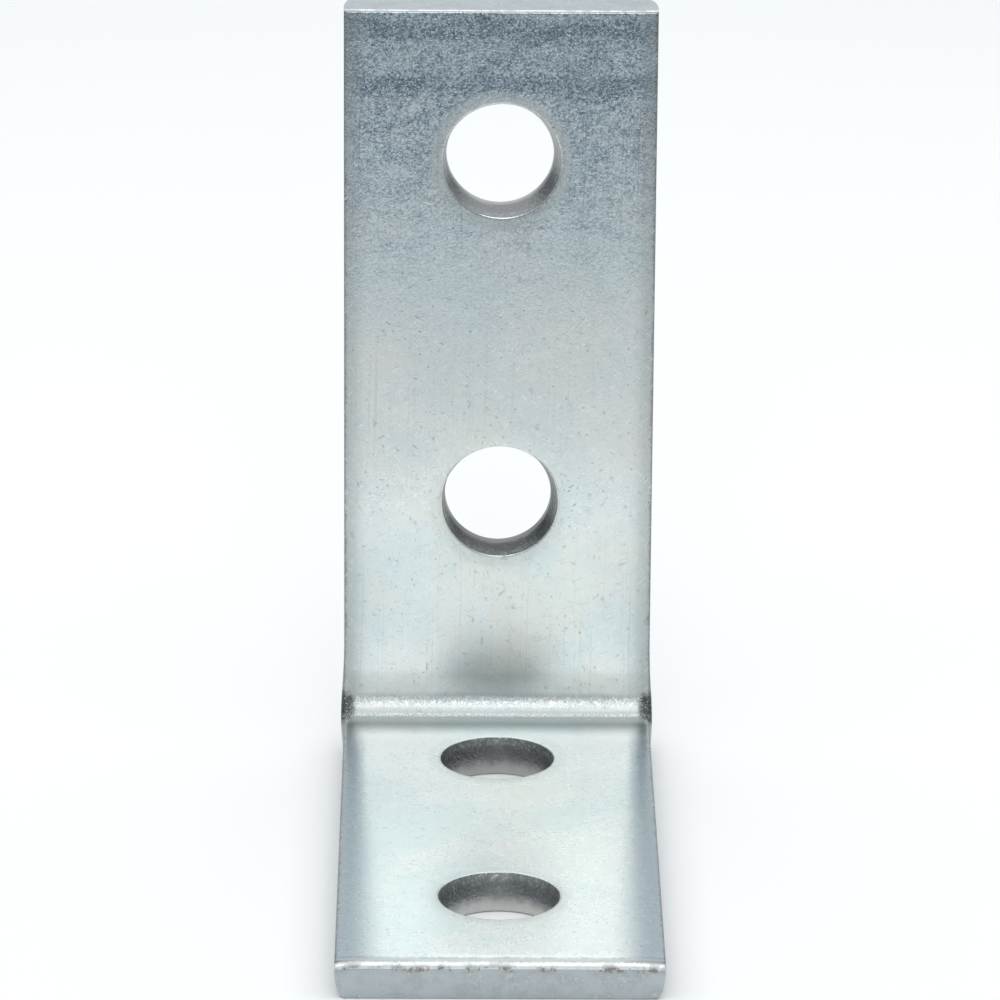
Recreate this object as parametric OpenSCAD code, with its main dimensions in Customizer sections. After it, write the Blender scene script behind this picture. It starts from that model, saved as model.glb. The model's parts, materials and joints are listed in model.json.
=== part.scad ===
/* [Strip] */
// Width of the steel strip
strip_w = 41.3; // [36:0.1:60]
// Thickness of the steel strip
strip_t = 5.3; // [4.6:0.1:8]

/* [Legs] */
// Height of the upright leg, from the sole to its sheared end
upright_l = 104.4; // [96:0.1:160]
// Length of the foot, from the back face to its sheared end
foot_l = 89.1; // [82:0.1:140]

/* [Bend] */
// Radius on the inside of the bend
bend_r = 3.4; // [2:0.1:6]
// How far each side swells out at the inside of the bend
bend_swell = 0.43; // [0:0.01:0.8]
// How far each side is drawn in at the outside of the bend
bend_neck = 0.4; // [0:0.01:0.8]
// Extra rounding that the bend gives to the inner edge
bend_edge_r = 0.8; // [0:0.05:0.9]
// Length of leg over which the swell dies away
swell_reach = 7; // [4:0.5:8]

/* [Holes] */
// Diameter of the punched bolt holes
hole_d = 14.3; // [10:0.1:18]
// Distance between the two holes in a leg
hole_pitch = 47.6; // [40:0.1:50]
// Upper hole centre to the end of the upright
upright_end_to_hole = 20.7; // [14:0.1:24]
// Front hole centre to the end of the foot
foot_end_to_hole = 20.8; // [14:0.1:24]
// Radius where the punch rolled the outer face in
hole_roll_r = 0.3; // [0.1:0.05:0.6]
// Length of the torn part of the hole wall, which widens to the inner face
hole_tear_l = 3.2; // [1.5:0.1:3.6]
// How much the torn part widens the hole, on the radius
hole_tear_w = 0.65; // [0.2:0.05:1.2]

/* [Edges] */
// Reach of the rounded mill edge across the outer face
mill_edge_w = 1.3; // [0.5:0.1:2]
// Reach of the rounded mill edge through the thickness
mill_edge_h = 3.5; // [2:0.1:3.6]
// Radius of the inner edge along the strip
inner_edge_r = 0.3; // [0.1:0.05:0.4]
// Length of the band that the shear rolled in at the end of the foot
foot_roll_l = 1.3; // [0.5:0.1:2.5]
// Depth of that band at the end of the foot
foot_roll_d = 1.4; // [0.3:0.1:1.6]
// Length of the narrower band at the end of the upright
upright_roll_l = 0.5; // [0.2:0.1:2]
// Depth of that band at the end of the upright
upright_roll_d = 0.6; // [0.2:0.1:1.4]
// How far the inner face falls short of the outer one at a sheared end
shear_rake = 0.2; // [0:0.05:0.5]

/* [Hidden] */
$fn = 96;

// Pieces that each curve of the swept strip is made of
MILL_STEPS = 9;
CORNER_STEPS = 4;
SHEAR_STEPS = 6;
FADE_STEPS = 7;
BEND_STEPS = 14;
// How far a cutting tool stands clear of the face it cuts
CLEAR = 1;

hole_r = hole_d / 2;
heel_r = bend_r + strip_t;
back_y = foot_l / 2;
bend_axis_y = back_y - heel_r;
// The way along the strip: 0 where the foot meets the bend, rising round it and up the upright
bend_way = (bend_r + strip_t / 2) * PI / 2;
foot_end = -(foot_l - heel_r);
upright_end = bend_way + upright_l - heel_r;
fade_span = bend_way / 2 + swell_reach;

// Share of the bend's distortion at a place on the way: 1 at mid bend, 0 past the swell's reach
function strain(way) =
    let (off = abs(way - bend_way / 2) / fade_span)
    off >= 1 ? 0 : pow(cos(90 * off), 2);

// One side of the strip's section, from the outer face round the mill edge to the inner face
function side_profile(share, inner_v) =
    let (
        half_w = strip_w / 2 + bend_swell * share,
        draw = mill_edge_w + (bend_swell + bend_neck) * share,
        corner_r = inner_edge_r + bend_edge_r * share,
        mill_h = min(mill_edge_h, inner_v - corner_r)
    )
    concat(
        [for (i = [0 : MILL_STEPS])
            let (a = 90 * i / MILL_STEPS)
            [half_w - draw + draw * sin(a), mill_h * (1 - cos(a))]],
        [for (i = [0 : CORNER_STEPS])
            let (a = 90 * i / CORNER_STEPS)
            [half_w - corner_r + corner_r * cos(a), inner_v - corner_r + corner_r * sin(a)]]
    );

// The whole section, as a closed outline of [across, above the outer face]
function section(share, inner_v) =
    let (side = side_profile(share, inner_v))
    concat(side, [for (i = [len(side) - 1 : -1 : 0]) [-side[i][0], side[i][1]]]);

// Where a point of the section lies once the strip is folded
function folded(way, point) =
    let (
        r = heel_r - point[1],
        turn = 90 * way / bend_way
    )
    way <= 0 ? [point[0], bend_axis_y + way, point[1]]
    : way >= bend_way ? [point[0], bend_axis_y + r, heel_r + way - bend_way]
    : [point[0], bend_axis_y + r * sin(turn), heel_r - r * cos(turn)];

// A ring round the strip near a sheared end: angle 0 is the end face, 90 where the rolled-in band begins
function end_ring(end, inwards, roll_l, roll_d, a) =
    let (
        inner_v = strip_t - roll_d * (1 - sin(a)),
        inset = roll_l * (1 - cos(a)),
        lean = shear_rake * cos(a)
    )
    [for (p = section(0, inner_v)) folded(end + inwards * (inset + lean * p[1] / strip_t), p)];

function plain_ring(way) = [for (p = section(strain(way), strip_t)) folded(way, p)];

function strip_rings() =
    concat(
        [for (i = [0 : SHEAR_STEPS])
            end_ring(foot_end, 1, foot_roll_l, foot_roll_d, 90 * i / SHEAR_STEPS)],
        [for (i = [0 : FADE_STEPS]) plain_ring(-swell_reach * (1 - i / FADE_STEPS))],
        [for (i = [1 : BEND_STEPS]) plain_ring(bend_way * i / BEND_STEPS)],
        [for (i = [1 : FADE_STEPS]) plain_ring(bend_way + swell_reach * i / FADE_STEPS)],
        [for (i = [SHEAR_STEPS : -1 : 0])
            end_ring(upright_end, -1, upright_roll_l, upright_roll_d, 90 * i / SHEAR_STEPS)]
    );

// The strip, swept through its folded shape, with both sheared ends
module folded_strip() {
    rings = strip_rings();
    size = len(rings[0]);
    last = len(rings) - 1;
    polyhedron(
        points = [for (ring = rings) each ring],
        faces = concat(
            [[for (j = [0 : size - 1]) j]],
            [for (i = [0 : last - 1], j = [0 : size - 1])
                let (next = (j + 1) % size)
                [i * size + j, (i + 1) * size + j, (i + 1) * size + next, i * size + next]],
            [[for (j = [size - 1 : -1 : 0]) last * size + j]]
        ),
        convexity = 6
    );
}

// What the punch takes out, with Z along its axis, 0 at the outer face and the inner face above
module punched_hole() {
    rotate_extrude() {
        translate([0, -CLEAR])
            square([hole_r, strip_t + 2 * CLEAR]);
        polygon([
            [0, strip_t - hole_tear_l],
            [hole_r, strip_t - hole_tear_l],
            [hole_r + hole_tear_w, strip_t],
            [hole_r + hole_tear_w, strip_t + CLEAR],
            [0, strip_t + CLEAR]
        ]);
        difference() {
            translate([0, -CLEAR])
                square([hole_r + hole_roll_r, hole_roll_r + CLEAR]);
            translate([hole_r + hole_roll_r, hole_roll_r])
                circle(hole_roll_r);
        }
    }
}

// A folded strip with two holes in each leg, all punched from the outer faces
module angle_fitting() {
    color("gainsboro")
    difference() {
        folded_strip();
        for (k = [0, 1]) {
            translate([0, -back_y + foot_end_to_hole + k * hole_pitch, 0])
                punched_hole();
            translate([0, back_y, upright_l - upright_end_to_hole - k * hole_pitch])
                rotate([90, 0, 0])
                    punched_hole();
        }
    }
}

angle_fitting();
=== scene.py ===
import json
import math

import bmesh
import bpy
import numpy as np
from mathutils import Euler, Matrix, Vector, noise


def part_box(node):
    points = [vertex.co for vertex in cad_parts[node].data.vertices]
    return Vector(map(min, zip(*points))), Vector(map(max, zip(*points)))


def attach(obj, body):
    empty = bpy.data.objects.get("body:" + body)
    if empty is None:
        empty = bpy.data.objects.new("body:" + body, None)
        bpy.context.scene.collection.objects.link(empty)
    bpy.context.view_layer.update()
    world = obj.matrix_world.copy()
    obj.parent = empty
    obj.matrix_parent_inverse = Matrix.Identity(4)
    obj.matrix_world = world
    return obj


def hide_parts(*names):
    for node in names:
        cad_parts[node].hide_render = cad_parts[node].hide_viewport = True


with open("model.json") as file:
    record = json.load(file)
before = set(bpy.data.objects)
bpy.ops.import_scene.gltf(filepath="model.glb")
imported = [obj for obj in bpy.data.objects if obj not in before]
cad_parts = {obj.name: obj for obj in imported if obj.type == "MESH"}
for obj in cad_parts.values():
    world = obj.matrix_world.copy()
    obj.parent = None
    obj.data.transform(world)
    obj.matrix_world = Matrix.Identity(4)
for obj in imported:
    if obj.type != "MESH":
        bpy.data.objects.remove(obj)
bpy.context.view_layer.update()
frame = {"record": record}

# The blank: a length of hot-rolled strip, still flat, cut into a net of faces that follows its edges
# and holes. X runs across it, Y along its way from the foot's end to the upright's, and Z through
# it, with the outer face at zero. The bend will take up the way from zero to bend_way.
MM = 0.001
STRIP_W = 41.3 * MM
STRIP_T = 5.3 * MM
BEND_R = 3.4 * MM
HALF_W = STRIP_W / 2
HEEL_R = BEND_R + STRIP_T
low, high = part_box("angle_fitting")
mounts = {mount["name"]: mount for mount in frame["record"]["mounts"]}
hole_r = mounts["foot_bolts"]["dims"]["hole_r_mm"] * MM
hole_pitch = mounts["foot_bolts"]["dims"]["spacing_y_mm"] * MM
bend_axis_y = high[1] - HEEL_R
bend_way = (BEND_R + STRIP_T / 2) * math.pi / 2
foot_end = low[1] - bend_axis_y
upright_end = bend_way + high[2] - HEEL_R
foot_holes_way = mounts["foot_bolts"]["pos_m"][1] - bend_axis_y
upright_holes_way = bend_way + mounts["upright_bolts"]["pos_m"][2] - HEEL_R
hole_ways = [
    foot_holes_way - hole_pitch / 2,
    foot_holes_way + hole_pitch / 2,
    upright_holes_way - hole_pitch / 2,
    upright_holes_way + hole_pitch / 2,
]

# Each hole sits in a square of the net, and the lines of the net crowd towards every edge
HOLE_SQUARE = 11 * MM
SQUARE_STEPS = 12
NET_STEP = 1.9 * MM
BEND_STEP = 0.8 * MM
SIDE_LINES = [0.1 * MM, 0.25 * MM, 0.45 * MM, 0.9 * MM, 1.6 * MM, 2.6 * MM]
END_LINES = [0.12 * MM, 0.3 * MM, 0.5 * MM, 0.7 * MM, 1.1 * MM, 1.5 * MM, 2.2 * MM]
HOLE_RINGS = [2.6 * MM, 1.8 * MM, 1.2 * MM, 0.75 * MM, 0.45 * MM, 0.2 * MM, 0]
WALL_LINES_MM = [0.08, 0.2, 0.4, 0.65, 0.9, 1.2, 1.6, 2.0, 2.6, 3.2, 3.6, 4.2, 4.7, 5.0, 5.15]
BEND_NET_PAST = 8 * MM
TOUCHING = 0.01 * MM


def stepped(start, end, step):
    count = max(1, round((end - start) / step))
    return [start + (end - start) * i / count for i in range(1, count)]


def cut_across(place, normal):
    bpy.ops.mesh.select_all(action="SELECT")
    bpy.ops.mesh.bisect(plane_co=place, plane_no=normal, threshold=1e-7)


def choose(test, kind):
    """Select the faces, edges or verts of the mesh in edit mode whose centre passes the test."""
    bpy.ops.mesh.select_all(action="DESELECT")
    mesh = bmesh.from_edit_mesh(bpy.context.object.data)
    for part in getattr(mesh, kind):
        middle = part.co if kind == "verts" else sum((v.co for v in part.verts), Vector()) / len(part.verts)
        if test(middle, part):
            part.select_set(True)
    mesh.select_flush_mode()
    bmesh.update_edit_mesh(bpy.context.object.data)


bpy.ops.object.select_all(action="DESELECT")
bpy.ops.mesh.primitive_plane_add(size=1, location=(0, 0, 0))
fitting = bpy.context.object
fitting.name = "zinc_plated_angle"
bpy.ops.object.mode_set(mode="EDIT")
bpy.ops.mesh.select_mode(type="VERT")
bpy.ops.mesh.select_all(action="SELECT")
bpy.ops.transform.resize(value=(STRIP_W, upright_end - foot_end, 1))
bpy.ops.transform.translate(value=(0, (upright_end + foot_end) / 2, STRIP_T))

side_cuts = [HALF_W - e for e in SIDE_LINES] + stepped(HOLE_SQUARE, HALF_W - SIDE_LINES[-1], NET_STEP)
across_cuts = side_cuts + [-x for x in side_cuts] + [-HOLE_SQUARE, HOLE_SQUARE]
across_cuts += stepped(-HOLE_SQUARE, HOLE_SQUARE, 2 * HOLE_SQUARE / SQUARE_STEPS)
for x in across_cuts:
    cut_across((x, 0, 0), (1, 0, 0))

way_cuts = [foot_end + e for e in END_LINES] + [upright_end - e for e in END_LINES]
for way in hole_ways:
    way_cuts += [way - HOLE_SQUARE, way + HOLE_SQUARE]
    way_cuts += stepped(way - HOLE_SQUARE, way + HOLE_SQUARE, 2 * HOLE_SQUARE / SQUARE_STEPS)
bend_zone = (hole_ways[1] + HOLE_SQUARE, bend_way + BEND_NET_PAST)
way_cuts += stepped(foot_end + END_LINES[-1], hole_ways[0] - HOLE_SQUARE, NET_STEP)
way_cuts += stepped(hole_ways[0] + HOLE_SQUARE, hole_ways[1] - HOLE_SQUARE, NET_STEP)
way_cuts += stepped(bend_zone[0], bend_zone[1], BEND_STEP) + [bend_zone[1]]
way_cuts += stepped(bend_zone[1], hole_ways[2] - HOLE_SQUARE, NET_STEP)
way_cuts += stepped(hole_ways[2] + HOLE_SQUARE, hole_ways[3] - HOLE_SQUARE, NET_STEP)
way_cuts += stepped(hole_ways[3] + HOLE_SQUARE, upright_end - END_LINES[-1], NET_STEP)
for way in way_cuts:
    cut_across((0, way, 0), (0, 1, 0))

# The holes: a round ring is bridged into each square, then drawn in ring by ring to the bore
for way in hole_ways:
    centre = Vector((0, way, STRIP_T))
    choose(lambda at, face: max(abs(at.x), abs(at.y - way)) < HOLE_SQUARE, "faces")
    bpy.ops.mesh.delete(type="FACE")
    bpy.ops.mesh.select_all(action="DESELECT")
    bpy.ops.mesh.primitive_circle_add(
        vertices=4 * SQUARE_STEPS, radius=hole_r + HOLE_RINGS[0], location=centre, fill_type="NOTHING"
    )
    choose(
        lambda at, edge: (edge.is_boundary or edge.is_wire)
        and all(max(abs(v.co.x), abs(v.co.y - way)) < HOLE_SQUARE + TOUCHING for v in edge.verts),
        "edges",
    )
    bpy.ops.mesh.bridge_edge_loops(number_cuts=1, interpolation="LINEAR")
    ring_r = hole_r + HOLE_RINGS[0]
    choose(
        lambda at, edge: edge.is_boundary
        and all(abs((v.co - centre).length - ring_r) < TOUCHING for v in edge.verts),
        "edges",
    )
    for ring in HOLE_RINGS[1:]:
        shrink = (hole_r + ring) / ring_r
        bpy.ops.mesh.extrude_edges_move()
        bpy.ops.transform.resize(value=(shrink, shrink, 1), center_override=centre)
        ring_r = hole_r + ring

# The thickness, with lines round every wall for the marks of shear, mill and punch
bpy.ops.mesh.select_all(action="SELECT")
bpy.ops.mesh.extrude_region_move(TRANSFORM_OT_translate={"value": (0, 0, -STRIP_T)})
bpy.ops.mesh.select_all(action="SELECT")
bpy.ops.mesh.normals_make_consistent(inside=False)
for depth in WALL_LINES_MM:
    cut_across((0, 0, STRIP_T - depth * MM), (0, 0, 1))
bpy.ops.object.mode_set(mode="OBJECT")

# The marks of the tools: the shear rolls the ends in, and the punch comes through from the outer
# face and tears out wider on the inner one. The mill left the long edges rounded on the outer
# face. The fold makes the strip swell at the inside of the bend and draws it in at the outside.
BEND_SWELL = 0.43 * MM
BEND_NECK = 0.4 * MM
BEND_EDGE_R = 0.8 * MM
SWELL_REACH = 7 * MM
MILL_EDGE_W = 1.3 * MM
MILL_EDGE_H = 3.5 * MM
INNER_EDGE_R = 0.3 * MM
FOOT_ROLL_L = 1.3 * MM
FOOT_ROLL_D = 1.4 * MM
UPRIGHT_ROLL_L = 0.5 * MM
UPRIGHT_ROLL_D = 0.6 * MM
SHEAR_RAKE = 0.2 * MM
HOLE_ROLL_R = 0.3 * MM
HOLE_TEAR_L = 3.2 * MM
HOLE_TEARS = (0.65 * MM, 0.45 * MM, 0.65 * MM, 0.7 * MM)
HOLE_LEAN = 0.25 * MM
HOLE_RIM_R = 0.2 * MM
HOLE_DISH = 0.05 * MM
HOLE_DISH_W = 3 * MM
SIDE_DISH = 0.07 * MM
SIDE_DISH_W = 2.2 * MM
TORN_GRAIN = 0.06 * MM
CORNER_DROOP = 0.3 * MM
CORNER_DROOP_W = 3.4 * MM
CORNER_DEEPER_W = 6 * MM
LONG_WAVE = 4 * MM
SHORT_WAVE = 1.3 * MM
LENGTH_WAVE = 2.4 * MM
TORN_GRAIN_SIZE = 0.6 * MM
LIP_W = 0.35 * MM
NEAR = 0.001 * MM


def rolled(across, down, width, depth):
    """Where a face or wall point near a square edge goes when the edge is rolled to an ellipse."""
    on_face = down < NEAR
    angle = np.where(
        on_face,
        np.pi / 4 * (1 - np.clip(across / width, 0, 1)),
        np.pi / 4 * (1 + np.clip(down / depth, 0, 1)),
    )
    inside = np.where(on_face, across < width, (across < NEAR) & (down < depth))
    new_across = np.where(inside, width * (1 - np.sin(angle)), across)
    new_down = np.where(inside, depth * (1 - np.cos(angle)), down)
    return new_across, new_down


def grain(points, size, seed):
    """Smooth noise from -1 to 1 at each point, with features of the given size."""
    shift = Vector((seed, 2 * seed, 3 * seed))
    return np.array([noise.noise(Vector(p) / size + shift) for p in points])


points = np.empty(len(fitting.data.vertices) * 3)
fitting.data.vertices.foreach_get("co", points)
x, way, z = points.reshape(-1, 3).T.copy()
flat = np.column_stack([x, way, z])
flat_z = flat[:, 2]
on_inner = flat_z > STRIP_T - NEAR
on_outer = flat_z < NEAR

off = np.abs(way - bend_way / 2) / (bend_way / 2 + SWELL_REACH)
share = np.where(off < 1, np.cos(np.pi / 2 * np.clip(off, 0, 1)) ** 2, 0)

# Holes first: each torn wall widens to the inner face, on the upright more to one side
hole_reach = HOLE_RINGS[0]
for number, (hole_way, tear_w) in enumerate(zip(hole_ways, HOLE_TEARS)):
    dy = way - hole_way
    r = np.hypot(x, dy)
    near = r < hole_r + hole_reach + NEAR
    across = np.maximum(r - hole_r, 0)
    on_wall = near & (across < NEAR)
    lean = HOLE_LEAN * x / np.maximum(r, NEAR) * (hole_way > 0)
    inner_across, inner_down = rolled(across, STRIP_T - flat_z, HOLE_RIM_R, HOLE_RIM_R)
    torn_share = np.clip(1 - inner_down / HOLE_TEAR_L, 0, 1)
    rough = TORN_GRAIN * grain(flat, TORN_GRAIN_SIZE, 3 + number) * np.where(across < NEAR, torn_share, 0)
    widened = (tear_w + lean) * torn_share * (1 - inner_across / hole_reach) + rough
    dish = HOLE_DISH * np.clip(1 - across / HOLE_DISH_W, 0, 1) ** 2
    outer_across, outer_down = rolled(across, flat_z, HOLE_ROLL_R, HOLE_ROLL_R)
    inner_half = near & (flat_z > STRIP_T / 2)
    outer_half = near & ~inner_half
    new_r = np.where(inner_half, hole_r + inner_across + widened, hole_r + outer_across)
    new_r = np.where(outer_half & on_wall, new_r + widened, new_r)
    new_z = np.where(inner_half, STRIP_T - inner_down - np.where(on_inner, dish, 0), outer_down)
    turn = np.where(near, new_r / np.maximum(r, NEAR), 1)
    x = x * turn
    way = hole_way + dy * turn
    z = np.where(near, new_z, z)

# Long sides: swell, mill edge and inner edge
edge = flat[:, 0]
margin = np.abs(edge) > HOLE_SQUARE
half_w = HALF_W + BEND_SWELL * share
draw = MILL_EDGE_W + (BEND_SWELL + BEND_NECK) * share
on_side = np.abs(edge) > HALF_W - NEAR
lift = np.clip(1 - flat_z / MILL_EDGE_H, 0, 1)
mill = half_w - draw * (1 - np.sqrt(1 - lift**2))
stretch = (np.abs(edge) - HOLE_SQUARE) / (HALF_W - HOLE_SQUARE)
spread = HOLE_SQUARE + stretch * (mill - HOLE_SQUARE)
corner_r = INNER_EDGE_R + BEND_EDGE_R * share
across = np.where(on_side, 0, half_w - spread)
new_across, new_down = rolled(across, STRIP_T - flat_z, corner_r, corner_r)
rolls = margin & (on_inner | on_side) & (flat_z > STRIP_T - corner_r - NEAR)
side_drop = SIDE_DISH * np.clip(1 - across / SIDE_DISH_W, 0, 1) ** 2
spread = np.where(rolls, half_w - new_across, spread)
z = np.where(rolls, STRIP_T - new_down - np.where(on_inner, side_drop, 0), z)
x = np.where(margin, np.sign(edge) * spread, x)

# Sheared ends: the inner face rolls down to the end face in a ragged line that droops at the corners,
# and the side walls shorten with it
sheared = np.zeros_like(x)
lip = np.zeros_like(x)
roll = np.zeros_like(x)
for end, inwards, roll_l, roll_d, seed in (
    (foot_end, 1, FOOT_ROLL_L, FOOT_ROLL_D, 11),
    (upright_end, -1, UPRIGHT_ROLL_L, UPRIGHT_ROLL_D, 17),
):
    across = np.abs(flat[:, 1] - end)
    on_end = across < NEAR
    line = np.column_stack([flat[:, 0], np.zeros_like(x), np.zeros_like(x)])
    wave = grain(line, LONG_WAVE, seed) + 0.5 * grain(line, SHORT_WAVE, seed + 1)
    to_edge = HALF_W - np.abs(flat[:, 0])
    corner = np.clip(1 - to_edge / CORNER_DEEPER_W, 0, 1) ** 2
    depth = roll_d * (1 + 0.14 * wave + 0.2 * corner)
    length = roll_l * (1 + 0.3 * grain(line, LENGTH_WAVE, seed + 2))
    face_across, face_drop = rolled(across, np.zeros_like(x), length, depth)
    wall_across, wall_down = rolled(across, STRIP_T - flat_z, length, depth)
    down_share = np.clip((z - MILL_EDGE_H) / (STRIP_T - MILL_EDGE_H), 0, 1)
    near_end = (across < length) & ~on_end
    rolled_end = on_end & (flat_z > STRIP_T - depth)
    z = np.where(near_end, z - down_share * face_drop, z)
    z = np.where(rolled_end, z - (wall_down - (STRIP_T - flat_z)), z)
    new_across = np.where(near_end, across + down_share * (face_across - across), across)
    new_across = np.where(rolled_end, wall_across, new_across)
    lean = SHEAR_RAKE * np.clip(1 - across / length, 0, 1) * flat_z / STRIP_T
    way = np.where(across < length, end + inwards * (new_across + lean), way)
    to_side = np.clip(1 - to_edge / CORNER_DROOP_W, 0, 1)
    to_end = np.clip(1 - across / CORNER_DROOP_W, 0, 1)
    upper = np.clip((z - STRIP_T / 2) / (STRIP_T / 2), 0, 1)
    z = z - CORNER_DROOP * roll_d / FOOT_ROLL_D * upper * (to_side * to_end) ** 2
    sheared = np.where(on_end & (flat_z < STRIP_T - roll_d), 1.0, sheared)
    lip = np.where(on_end & (np.abs(STRIP_T - flat_z - roll_d) < LIP_W), inwards, lip)
    turn_share = np.where(on_end, 1 + (STRIP_T - flat_z) / depth, 1 - across / length) / 2
    roll = np.where(rolled_end | (near_end & on_inner), turn_share, roll)

# What the plating needs to know of each place, kept with the mesh: its spot on the flat strip, how
# far it belongs to a wall, a bore, a hole's rim or a sheared end, and how far a sheared edge has turned
bore_gaps = [np.hypot(flat[:, 0], flat[:, 1] - hole_way) - hole_r for hole_way in hole_ways]
bore_gap = np.min(bore_gaps, axis=0)
in_bore = (bore_gap < NEAR) & ~on_inner & ~on_outer
marks = {
    "wall": np.where(on_inner | on_outer, 0.0, 1.0),
    "bore": np.where(in_bore, 1.0, 0.0),
    "rim": np.clip(1 - bore_gap / HOLE_DISH_W, 0, 1),
    "strain": share,
    "sheared": sheared,
    "lip": np.clip(lip, 0, 1),
    "roll": roll,
}
for name, values in marks.items():
    mark = fitting.data.attributes.new(name, "FLOAT", "POINT")
    mark.data.foreach_set("value", values.astype(np.float32))
strip_place = fitting.data.attributes.new("strip", "FLOAT_VECTOR", "POINT")
strip_place.data.foreach_set("vector", flat.astype(np.float32).ravel())

# The fold: the way is wound round the bend axis, the foot before it and the upright after it
SMOOTH_UNDER = math.radians(40)
turn = np.clip(way / bend_way, 0, 1) * np.pi / 2
radius = HEEL_R - z
y = bend_axis_y + np.minimum(way, 0) + radius * np.sin(turn)
height = HEEL_R - radius * np.cos(turn) + np.maximum(way - bend_way, 0)
fitting.data.vertices.foreach_set("co", np.column_stack([x, y, height]).ravel())
fitting.data.update()
smooth = fitting.modifiers.new("smooth", "SUBSURF")
smooth.levels = 1
smooth.render_levels = 1
bpy.ops.object.modifier_apply(modifier="smooth")
bpy.ops.object.shade_smooth_by_angle(angle=SMOOTH_UNDER)
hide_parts("angle_fitting")
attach(fitting, "root")


# The plating: bright zinc with a clear blue passivate over the pickled strip. Its grain follows the
# steel below, coarser towards the upright's end, where painted shade also darkens it, the colour drifts
# from blue to straw, and handling has left fine short scratches. Cut and torn faces took the zinc thinly
# and stay dull.
class Wire:
    """A shader value that can take part in sums."""

    def __init__(self, finish, socket):
        self.finish = finish
        self.socket = socket

    def maths(self, operation, first, second=0.0):
        return self.finish.node("ShaderNodeMath", {"operation": operation}, {0: first, 1: second})

    def __add__(self, other):
        return self.maths("ADD", self, other)

    __radd__ = __add__

    def __sub__(self, other):
        return self.maths("SUBTRACT", self, other)

    def __rsub__(self, other):
        return self.maths("SUBTRACT", other, self)

    def __mul__(self, other):
        return self.maths("MULTIPLY", self, other)

    __rmul__ = __mul__

    def __abs__(self):
        return self.maths("ABSOLUTE", self)


class Finish:
    """A material under construction."""

    def __init__(self, name):
        self.material = bpy.data.materials.new(name)
        self.material.use_nodes = True
        self.tree = self.material.node_tree
        self.tree.nodes.clear()

    def node(self, kind, settings, sockets, output=0):
        made = self.tree.nodes.new(kind)
        for name, value in settings.items():
            setattr(made, name, value)
        for name, value in sockets.items():
            if isinstance(value, Wire):
                self.tree.links.new(value.socket, made.inputs[name])
            else:
                made.inputs[name].default_value = value
        return Wire(self, made.outputs[output]) if made.outputs else None

    def noise(self, at, size, detail=2.0, roughness=0.5):
        return self.node(
            "ShaderNodeTexNoise", {},
            {"Vector": at, "Scale": 1 / size, "Detail": detail, "Roughness": roughness},
        )

    def between(self, value, low_value, high_value, low_result=0.0, high_result=1.0):
        return self.node(
            "ShaderNodeMapRange", {"interpolation_type": "SMOOTHSTEP"},
            {"Value": value, 1: low_value, 2: high_value, 3: low_result, 4: high_result},
        )

    def mix(self, factor, first, second):
        return self.node(
            "ShaderNodeMix", {"data_type": "RGBA"}, {0: factor, 6: first, 7: second}, output=2
        )

    def mark(self, name):
        return self.node("ShaderNodeAttribute", {"attribute_name": name}, {}, output="Fac")

    def scratches(self, place, turn, length, width, cover):
        """A mask of short straight scratches, lying at one angle on the flat strip."""
        turned = self.node(
            "ShaderNodeMapping", {"vector_type": "TEXTURE"},
            {"Vector": place, "Rotation": (0, 0, turn), "Scale": (length, width, 1.0)},
        )
        lines = self.node(
            "ShaderNodeTexNoise", {"noise_dimensions": "2D"},
            {"Vector": turned, "Scale": 1.0, "Detail": 0.0},
        )
        return self.between(lines, 1 - cover, 1.06 - cover)


zinc = Finish("zinc_plate")
at = zinc.node("ShaderNodeTexCoord", {}, {}, output="Object")
strip = zinc.node("ShaderNodeAttribute", {"attribute_name": "strip"}, {}, output="Vector")
strip_x = zinc.node("ShaderNodeSeparateXYZ", {}, {"Vector": strip}, output="X")
strip_way = zinc.node("ShaderNodeSeparateXYZ", {}, {"Vector": strip}, output="Y")
strip_z = zinc.node("ShaderNodeSeparateXYZ", {}, {"Vector": strip}, output="Z")
wall = zinc.mark("wall")
bore = zinc.mark("bore")
rim = zinc.mark("rim")
strain_mark = zinc.mark("strain")
sheared_mark = zinc.mark("sheared")
lip_mark = zinc.mark("lip")
roll_mark = zinc.mark("roll")
grit = zinc.noise(at, 0.34 * MM, 2.0, 0.7)
speck = zinc.noise(at, 0.21 * MM, 1.0, 0.5)
chips = zinc.noise(at, 0.42 * MM, 1.0, 0.5)
mottle = zinc.noise(at, 1.6 * MM, 3.0, 0.6)
flattened = zinc.node(
    "ShaderNodeMapping", {"vector_type": "TEXTURE"}, {"Vector": at, "Scale": (1.8, 1.0, 1.0)}
)
drawn = zinc.node(
    "ShaderNodeMapping", {"vector_type": "TEXTURE"}, {"Vector": at, "Scale": (7.0, 1.0, 1.0)}
)
cloud = zinc.noise(flattened, 2.6 * MM, 4.0, 0.65)
streaks = zinc.noise(drawn, 1.5 * MM, 3.0, 0.6)
drift = zinc.noise(at, 14 * MM, 2.0, 0.5)
drift_two = zinc.noise(at, 9 * MM, 2.0, 0.5)
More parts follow.
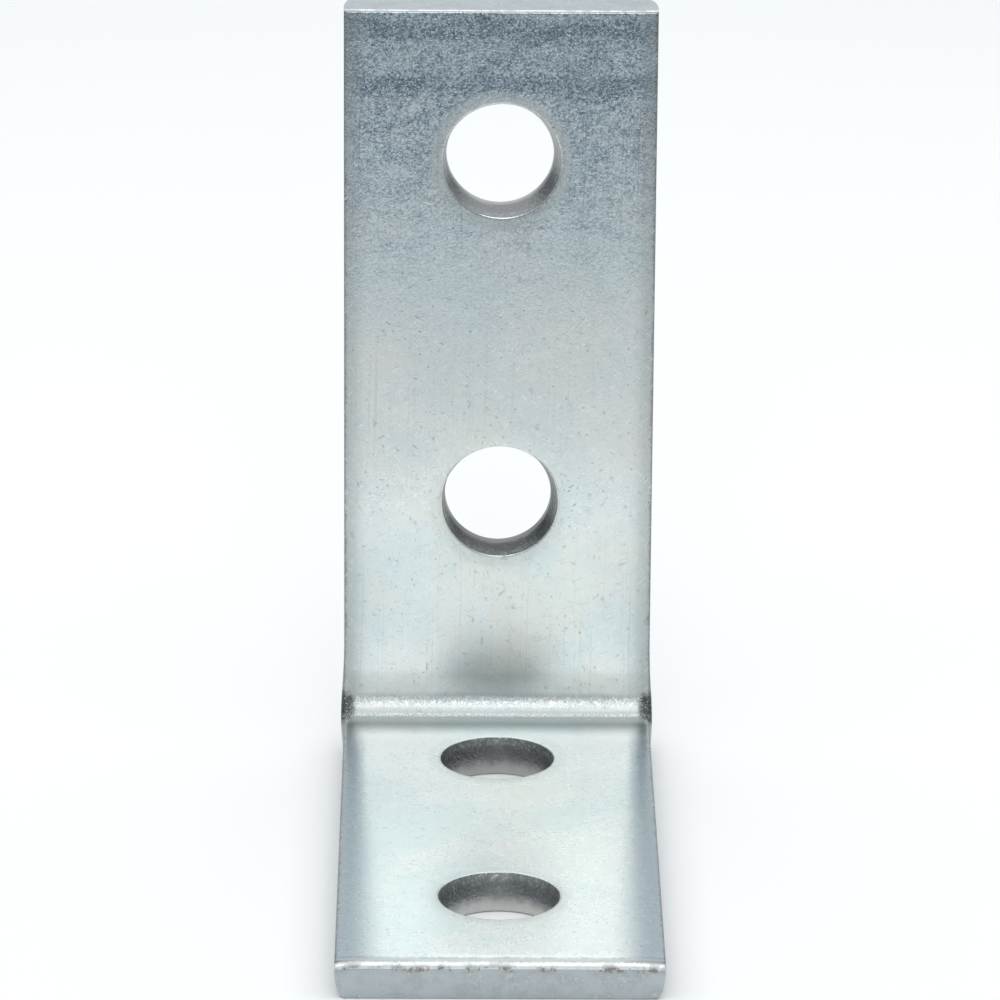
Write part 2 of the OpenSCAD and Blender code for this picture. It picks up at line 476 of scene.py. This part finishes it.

# Where the finish, the painted light and the painted shade change along the strip, each as the two places
# between which it comes in
INNER_ZONE = (0.8 * MM, STRIP_T - 0.8 * MM)
FOOT_ZONE = (8 * MM, -14 * MM)
COARSE_GRAIN_AND_SHADE_ZONE = (upright_end - 56 * MM, upright_end - 7 * MM)
MID_UPRIGHT_SHADE_ZONE = (upright_end - 72 * MM, upright_end - 58 * MM)
FOOT_LIGHT_FRONT = (-24 * MM, -9 * MM)
FOOT_LIGHT_REAR = (-1 * MM, -5 * MM)
inner_side = zinc.between(strip_z, *INNER_ZONE)
on_foot = zinc.between(strip_way, *FOOT_ZONE)
# Painted shade: towards the upright's end the coarser grain also darkens the face
coarse_grain_and_shade = zinc.between(strip_way + 12 * MM * (cloud - 0.5), *COARSE_GRAIN_AND_SHADE_ZONE)
coarse_grain_and_shade = coarse_grain_and_shade * (0.4 + 0.6 * inner_side)
mid_upright_shade = inner_side * zinc.between(strip_way, *MID_UPRIGHT_SHADE_ZONE) * (1 - coarse_grain_and_shade)
foot_back_light = zinc.between(strip_way, *FOOT_LIGHT_FRONT) * zinc.between(strip_way, *FOOT_LIGHT_REAR)

BLUE = (0.69, 0.755, 0.757, 1)
PALE = (0.77, 0.795, 0.785, 1)
STRAW = (0.78, 0.785, 0.737, 1)
STEEL = (0.65, 0.75, 0.80, 1)
SLATE_GRAIN_AND_SHADE = (0.115, 0.17, 0.23, 1)
GLINT = (0.93, 0.95, 0.95, 1)
DULL = (0.33, 0.35, 0.36, 1)
colour = zinc.mix(zinc.between(drift, 0.4, 0.6), BLUE, PALE)
colour = zinc.mix((0.55 - 0.35 * on_foot) * zinc.between(drift_two, 0.48, 0.64), colour, STRAW)
colour = zinc.mix(0.8 * coarse_grain_and_shade, colour, STEEL)
# Painted shade: the middle of the upright is darkened
colour = zinc.mix(0.2 * mid_upright_shade, colour, DULL)
# Painted light: the foot's inner face is lightened towards the bend
colour = zinc.mix(0.66 * inner_side * foot_back_light, colour, GLINT)

# The coarse grain with painted shade: slate clouds that also darken the upright's end as painted shade, two
# darker streaks of painted shade across the strip below its end, and bright specks
SHADE_STREAKS = ((2.9 * MM, 2.2 * MM), (10.4 * MM, 2.6 * MM))
slate_grain_and_shade = 0.47 + 0.8 * (cloud - 0.5) - 1.9 * (grit - 0.5)
for below, reach in SHADE_STREAKS:
    off_line = abs(strip_way - (upright_end - below) + 5 * MM * (streaks - 0.5))
    slate_grain_and_shade = slate_grain_and_shade + inner_side * zinc.between(off_line, reach, 0.2 * MM, 0.0, 0.20)
slate_and_shade_cover = zinc.between((0.04 - 0.025 * on_foot + coarse_grain_and_shade) * slate_grain_and_shade, 0.0, 1.0, 0.0, 0.96)
colour = zinc.mix(slate_and_shade_cover, colour, SLATE_GRAIN_AND_SHADE)
speck_cover = (0.03 - 0.02 * on_foot + 0.75 * coarse_grain_and_shade) * zinc.between(speck, 0.58, 0.67)
colour = zinc.mix(speck_cover, colour, GLINT)

# Long edges: the plating dulls to a grey strip, which is bluer and wider along the foot, and the edge
# itself is a thin dark line
EDGE_GREY = (0.40, 0.43, 0.43, 1)
EDGE_BLUE = (0.34, 0.41, 0.445, 1)
EDGE_DARK = (0.12, 0.125, 0.13, 1)
BAND_W_UPRIGHT = 3.2 * MM
BAND_W_FOOT = 7 * MM
EDGE_DULL_ZONE = (0.6 * MM, 0.2 * MM)
EDGE_LINE_ZONE = (0.32 * MM, 0.1 * MM)
EDGE_LINE_DEPTH = (STRIP_T - 1.0 * MM, STRIP_T - 0.2 * MM)
band_w = zinc.between(strip_way, 0, foot_end, BAND_W_UPRIGHT, BAND_W_FOOT)
side_gap = HALF_W - abs(strip_x) + 0.6 * MM * (mottle - 0.5) + 0.4 * MM * (chips - 0.5)
edge_band = zinc.node(
    "ShaderNodeMapRange", {"interpolation_type": "SMOOTHSTEP"},
    {"Value": side_gap, 1: band_w, 2: 0.3 * MM + 1.2 * MM * on_foot, 3: 0.0, 4: 0.62 + 0.33 * on_foot},
)
edge_tint = zinc.mix(on_foot, EDGE_GREY, EDGE_BLUE)
colour = zinc.mix(edge_band, colour, edge_tint)
colour = zinc.mix(zinc.between(side_gap, *EDGE_DULL_ZONE, 0.0, 0.45), colour, DULL)
edge_line = zinc.between(side_gap, *EDGE_LINE_ZONE) * zinc.between(strip_z, *EDGE_LINE_DEPTH)
colour = zinc.mix(0.55 * edge_line, colour, EDGE_DARK)

# Round each hole the die pressed a smoother, greyer ring, and a painted highlight runs along the bore's rim
HALO = (0.58, 0.60, 0.58, 1)
halo = zinc.between(rim + 0.25 * (mottle - 0.5), 0.12, 0.5)
colour = zinc.mix((0.2 + 0.5 * coarse_grain_and_shade) * halo, colour, HALO)
# Painted highlight along the rim of each bore
rim_highlight = inner_side * zinc.between(rim, 0.92, 0.98)
colour = zinc.mix(rim_highlight * zinc.between(mottle, 0.40, 0.60, 0.1, 0.6), colour, GLINT)

# Handling: short scratches in all directions, dull and bright, a few long ones along the strip, and pits
DULL_SCUFFS = ((75, 1.6 * MM), (112, 3.0 * MM), (158, 2.0 * MM), (5, 1.2 * MM))
scuffs = zinc.scratches(strip, math.radians(20), 2.5 * MM, 0.12 * MM, 0.20)
for degrees, length in DULL_SCUFFS:
    scuffs = scuffs + zinc.scratches(strip, math.radians(degrees), length, 0.11 * MM, 0.19)
scuffs = scuffs + 0.5 * zinc.scratches(strip, math.radians(89), 34 * MM, 0.16 * MM, 0.23)
scuffs = scuffs * (1 - wall)
pits = zinc.between(zinc.noise(at, 0.6 * MM, 0.0), 0.77, 0.82)
colour = zinc.mix((0.34 - 0.23 * on_foot) * scuffs, colour, DULL)
bright_scuffs = zinc.scratches(strip, math.radians(48), 2.2 * MM, 0.11 * MM, 0.20)
bright_scuffs = bright_scuffs + zinc.scratches(strip, math.radians(134), 1.7 * MM, 0.10 * MM, 0.20)
colour = zinc.mix((0.6 - 0.3 * on_foot) * bright_scuffs * (1 - wall), colour, GLINT)
colour = zinc.mix(0.6 * coarse_grain_and_shade * scuffs, colour, SLATE_GRAIN_AND_SHADE)
colour = zinc.mix(0.3 * pits, colour, DULL)

# Walls of the holes: torn and dark below a ragged rim that painted light makes pale, burnished beyond it,
# and darkest with painted shade round the upright's lower hole
BORE = (0.30, 0.31, 0.31, 1)
LAND = (0.56, 0.57, 0.55, 1)
TORN = (0.30, 0.31, 0.32, 1)
TORN_PALE = (0.62, 0.63, 0.63, 1)
NEAR_BLACK = (0.08, 0.084, 0.088, 1)
TEAR_Z = STRIP_T - HOLE_TEAR_L
HOLE_SHADE_ZONE = (60 * MM, 14 * MM)
TEAR_ZONE = (TEAR_Z - 0.7 * MM, TEAR_Z + 0.6 * MM)
LAND_ZONE = (TEAR_Z + 0.4 * MM, 0.3 * MM)
RAGGED_RIM_LIGHT_ZONE = (STRIP_T - 1.9 * MM, STRIP_T - 0.1 * MM)
# Painted shade in the hole walls, strongest round the upright's lower hole
hole_shade = zinc.between(abs(strip_way - hole_ways[2]), *HOLE_SHADE_ZONE)
tear_line = strip_z + 1.6 * MM * (mottle - 0.5) + 0.9 * MM * (speck - 0.5)
torn = bore * zinc.between(tear_line, *TEAR_ZONE)
# Painted light: the ragged rim of the torn wall is paled
ragged_rim_light = zinc.between(tear_line, *RAGGED_RIM_LIGHT_ZONE) * (0.15 + 0.85 * on_foot)
torn_colour = zinc.mix(0.75 * ragged_rim_light, zinc.mix(0.95 * hole_shade, TORN, NEAR_BLACK), TORN_PALE)
torn_colour = zinc.mix((0.04 + 0.6 * ragged_rim_light) * zinc.between(chips, 0.52, 0.64), torn_colour, GLINT)
land_colour = zinc.mix(zinc.between(tear_line, *LAND_ZONE), BORE, LAND)
colour = zinc.mix(0.95 * bore, colour, zinc.mix(0.7 * hole_shade, land_colour, NEAR_BLACK))
colour = zinc.mix(torn, colour, torn_colour)

# Sheared ends: dull blue faces under a rolled band, which is painted grey as shade where it starts to turn
# and carries a painted highlight towards its lip, with flecks of rust on the foot's
SHEARED = (0.46, 0.51, 0.53, 1)
ROLLED_SHADE = (0.33, 0.35, 0.35, 1)
RUST = (0.20, 0.12, 0.09, 1)
cut = zinc.mix(zinc.between(0.5 * mottle + 0.5 * cloud, 0.42, 0.62, 0, 0.45), SHEARED, DULL)
cut = zinc.mix(zinc.between(0.5 * chips + 0.5 * mottle, 0.54, 0.66, 0, 0.35), cut, PALE)
turned = roll_mark + 0.2 * (mottle - 0.5) + 0.16 * (chips - 0.5)
# Painted shade: the rolled band greys once it starts to turn
colour = zinc.mix(zinc.between(turned, 0.14, 0.36, 0.0, 0.9), colour, ROLLED_SHADE)
colour = zinc.mix(0.3 * edge_band * zinc.between(roll_mark, 0.0, 0.1), colour, NEAR_BLACK)
# Painted highlight on the rolled band towards its lip
lip_highlight = zinc.between(turned, 0.50, 0.68) * zinc.between(turned, 1.0, 0.88)
colour = zinc.mix(lip_highlight * zinc.between(mottle, 0.64, 0.42, 0.4, 0.95), colour, GLINT)
cut_cover = zinc.between(sheared_mark + zinc.between(turned, 0.90, 1.02), 0.0, 1.0)
colour = zinc.mix(cut_cover, colour, cut)
lip_flecks = lip_mark * zinc.between(0.6 * mottle + 0.4 * chips + 0.4 * (drift_two - 0.5), 0.53, 0.60)
colour = zinc.mix(0.65 * lip_flecks, colour, RUST)

# The bend: a grey band of painted shade across its inside, sparkling where the inner face was crushed, with
# a line of painted shade and a painted highlight line between them, and painted shade nearly black at both
# ends of the crease
CREASE_SHADE = (0.06, 0.066, 0.07, 1)
BEND_SHADE_GREY = (0.33, 0.365, 0.36, 1)
BEND_SHADE_ZONE_FOOT = (-4.4 * MM, 1.2 * MM)
BEND_SHADE_ZONE_BEND = (7.5 * MM, 3.3 * MM)
ABOVE_BAND_WAY = 10.9 * MM
ABOVE_BAND_REACH = (2.3 * MM, 0.6 * MM)
CRUSHED_WAY = bend_way - 2.2 * MM
CRUSHED_REACH = (1.7 * MM, 0.4 * MM)
SHADE_LINE_WAY = 5.1 * MM
SHADE_LINE_REACH = (0.9 * MM, 0.3 * MM)
HIGHLIGHT_LINE_WAY = 3.7 * MM
HIGHLIGHT_LINE_REACH = (0.7 * MM, 0.2 * MM)
CREASE_WAY = 0.6 * bend_way
CREASE_REACH = (5.4 * MM, 0.8 * MM)
CREASE_SIDE = (2.6 * MM, 0.5 * MM)
# Painted shade: a grey band across the inside of the bend, running onto the foot
below_band = zinc.between(strip_way + 1.6 * MM * (streaks - 0.5), *BEND_SHADE_ZONE_BEND)
bend_shade = zinc.between(strip_way, *BEND_SHADE_ZONE_FOOT) * below_band
colour = zinc.mix(0.87 * inner_side * bend_shade, colour, BEND_SHADE_GREY)
# Painted shade just above the band
above_band_shade = inner_side * zinc.between(abs(strip_way - ABOVE_BAND_WAY), *ABOVE_BAND_REACH)
colour = zinc.mix(0.24 * above_band_shade, colour, BEND_SHADE_GREY)
crushed = inner_side * zinc.between(abs(strip_way - CRUSHED_WAY), *CRUSHED_REACH)
dark_sparkle = (0.5 * crushed + 0.06 * strain_mark) * zinc.between(speck, 0.52, 0.40)
colour = zinc.mix(dark_sparkle, colour, DULL)
# A speckled line of painted shade, and below it a painted highlight line
bend_shade_line = inner_side * zinc.between(abs(strip_way - SHADE_LINE_WAY), *SHADE_LINE_REACH)
bend_shade_line = bend_shade_line * zinc.between(streaks, 0.42, 0.56)
colour = zinc.mix(bend_shade_line * zinc.between(speck, 0.60, 0.42, 0.15, 0.6), colour, DULL)
bend_highlight_line = inner_side * zinc.between(abs(strip_way - HIGHLIGHT_LINE_WAY), *HIGHLIGHT_LINE_REACH)
colour = zinc.mix(bend_highlight_line * zinc.between(speck, 0.40, 0.60, 0.1, 0.5), colour, GLINT)
bright_sparkle = (0.7 * crushed + 0.06 * strain_mark) * zinc.between(chips, 0.55, 0.64)
colour = zinc.mix(bright_sparkle, colour, GLINT)
# Painted shade: nearly black at both ends of the crease
side_near = zinc.between(side_gap, *CREASE_SIDE)
crease = inner_side * side_near * zinc.between(abs(strip_way - CREASE_WAY), *CREASE_REACH)
crease_end_shade = zinc.between(crease + 1.6 * crease * (mottle + chips - 1), 0.12, 0.72)
colour = zinc.mix(0.88 * crease_end_shade * zinc.between(speck, 0.66, 0.50, 0.35, 1.0), colour, CREASE_SHADE)

# The surface: smooth on the faces, rougher above the bend and wherever steel was cut, torn or bent
ABOVE_BEND_ZONE = (bend_way + 30 * MM, bend_way + 8 * MM)
RELIEF = 0.06 * MM
roughness = 0.27 + 0.10 * (mottle - 0.5) + 0.08 * (drift - 0.5)
roughness = roughness + 0.08 * strain_mark + 0.1 * bore + 0.1 * sheared_mark
roughness = roughness + 0.06 * roll_mark + 0.11 * lip_highlight
above_bend = zinc.between(strip_way, *ABOVE_BEND_ZONE) * (1 - on_foot)
roughness = roughness + 0.08 * above_bend + 0.2 * crease_end_shade
calm = 1 - 0.7 * zinc.between(rim, 0.0, 0.5)
relief = grit * calm * (0.18 - 0.08 * on_foot + 0.7 * coarse_grain_and_shade + 0.5 * crushed)
relief = relief + 0.07 * mottle - 0.3 * pits + 1.5 * chips * torn
bump = zinc.node("ShaderNodeBump", {}, {"Height": relief, "Strength": 1.0, "Distance": RELIEF})
shader = zinc.node(
    "ShaderNodeBsdfPrincipled", {},
    {"Base Color": colour, "Roughness": roughness, "Metallic": 1.0, "Normal": bump},
)
zinc.node("ShaderNodeOutputMaterial", {}, {"Surface": shader})
fitting.data.materials.clear()
fitting.data.materials.append(zinc.material)

# The table: one plain sheet of backdrop paper that the fitting stands on. It is white under the
# fitting and graded to a blue grey in front of it as painted shade for the light falling off, which the
# upright's bright face mirrors.
TABLE_SIDE = 700 * MM
PAPER_WHITE_Y = low[1] - 30 * MM
PAPER_GREY_Y = low[1] - 245 * MM
PAPER_WHITE = (0.95, 0.95, 0.95, 1)
PAPER_GREY = (0.45, 0.49, 0.51, 1)
TABLE_DROP = 0.05 * MM
PAPER_FIBRE = 1.2 * MM
bpy.ops.object.select_all(action="DESELECT")
bpy.ops.mesh.primitive_plane_add(size=1, location=(0, 0, 0))
table = bpy.context.object
table.name = "table"
bpy.ops.object.mode_set(mode="EDIT")
bpy.ops.transform.resize(value=(2 * TABLE_SIDE, 2 * TABLE_SIDE, 1))
bpy.ops.transform.translate(value=(0, 0, -TABLE_DROP))
bpy.ops.object.mode_set(mode="OBJECT")
paper = Finish("backdrop_paper")
at = paper.node("ShaderNodeTexCoord", {}, {}, output="Object")
forward = paper.node("ShaderNodeSeparateXYZ", {}, {"Vector": at}, output="Y")
fibre = paper.noise(at, PAPER_FIBRE, 3.0, 0.6)
# Painted shade: the paper greys in front, standing in for the light falling off
graded = paper.between(forward + 4 * MM * (fibre - 0.5), PAPER_GREY_Y, PAPER_WHITE_Y)
sheet = paper.node(
    "ShaderNodeBsdfPrincipled", {},
    {"Base Color": paper.mix(graded, PAPER_GREY, PAPER_WHITE), "Roughness": 0.9},
)
paper.node("ShaderNodeOutputMaterial", {}, {"Surface": sheet})
table.data.materials.append(paper.material)

# The light: a wide soft box overhead and a dim one behind, which the faces and ends mirror, a high
# one in front and a brighter small one above the camera, all in a dim blue-grey room.
ROOM_GREY = (0.22, 0.25, 0.265, 1)
room = bpy.data.worlds.new("room")
bpy.context.scene.world = room
room.use_nodes = True
room.node_tree.nodes["Background"].inputs["Color"].default_value = ROOM_GREY
room.node_tree.nodes["Background"].inputs["Strength"].default_value = 1.0


def soft_box(name, place, aim_at, width, height, radiance):
    bpy.ops.object.light_add(type="AREA", location=place)
    lamp = bpy.context.object
    lamp.name = name
    lamp.rotation_euler = (Vector(aim_at) - Vector(place)).to_track_quat("-Z", "Y").to_euler()
    lamp.data.shape = "RECTANGLE"
    lamp.data.size = width
    lamp.data.size_y = height
    lamp.data.energy = radiance * math.pi * width * height
    lamp.visible_camera = False


soft_box("top_box", (0, 0.14, 0.55), (0, 0.14, 0), 1.45, 1.1, 1.08)
soft_box("rear_box", (0, 1.3, 0.5), (0, 0, 0.1), 1.6, 0.9, 0.7)
soft_box("high_box", (0, -0.45, 0.75), (0, 0, 0.03), 0.7, 0.45, 0.9)
soft_box("front_box", (0, -1.0, 0.62), (0, 0, 0.03), 0.5, 0.45, 2.75)

# The camera: a long lens at the photograph's own viewpoint, in front of the fitting and a little
# above it, worked out from the fitting's known corners.
CAMERA_AT = (-7.107 * MM, high[1] - 900.95 * MM, 353.92 * MM)
CAMERA_DOWN = math.radians(19.526)
CAMERA_TURN = math.radians(-0.472)
CAMERA_ROLL = math.radians(0.403)
FOCAL_PIXELS = 7084.0
IMAGE_PIXELS = 1000
SENSOR = 36.0
bpy.ops.object.camera_add(location=CAMERA_AT)
camera = bpy.context.object
camera.data.sensor_width = SENSOR
camera.data.lens = FOCAL_PIXELS * SENSOR / IMAGE_PIXELS
camera.data.clip_start = 10 * MM
aim = Euler((math.pi / 2 - CAMERA_DOWN, 0, CAMERA_TURN), "XYZ").to_matrix()
level = Euler((0, 0, CAMERA_ROLL), "XYZ").to_matrix()
camera.rotation_euler = (aim @ level).to_euler()
bpy.context.scene.camera = camera
bpy.context.scene.view_settings.view_transform = "Standard"
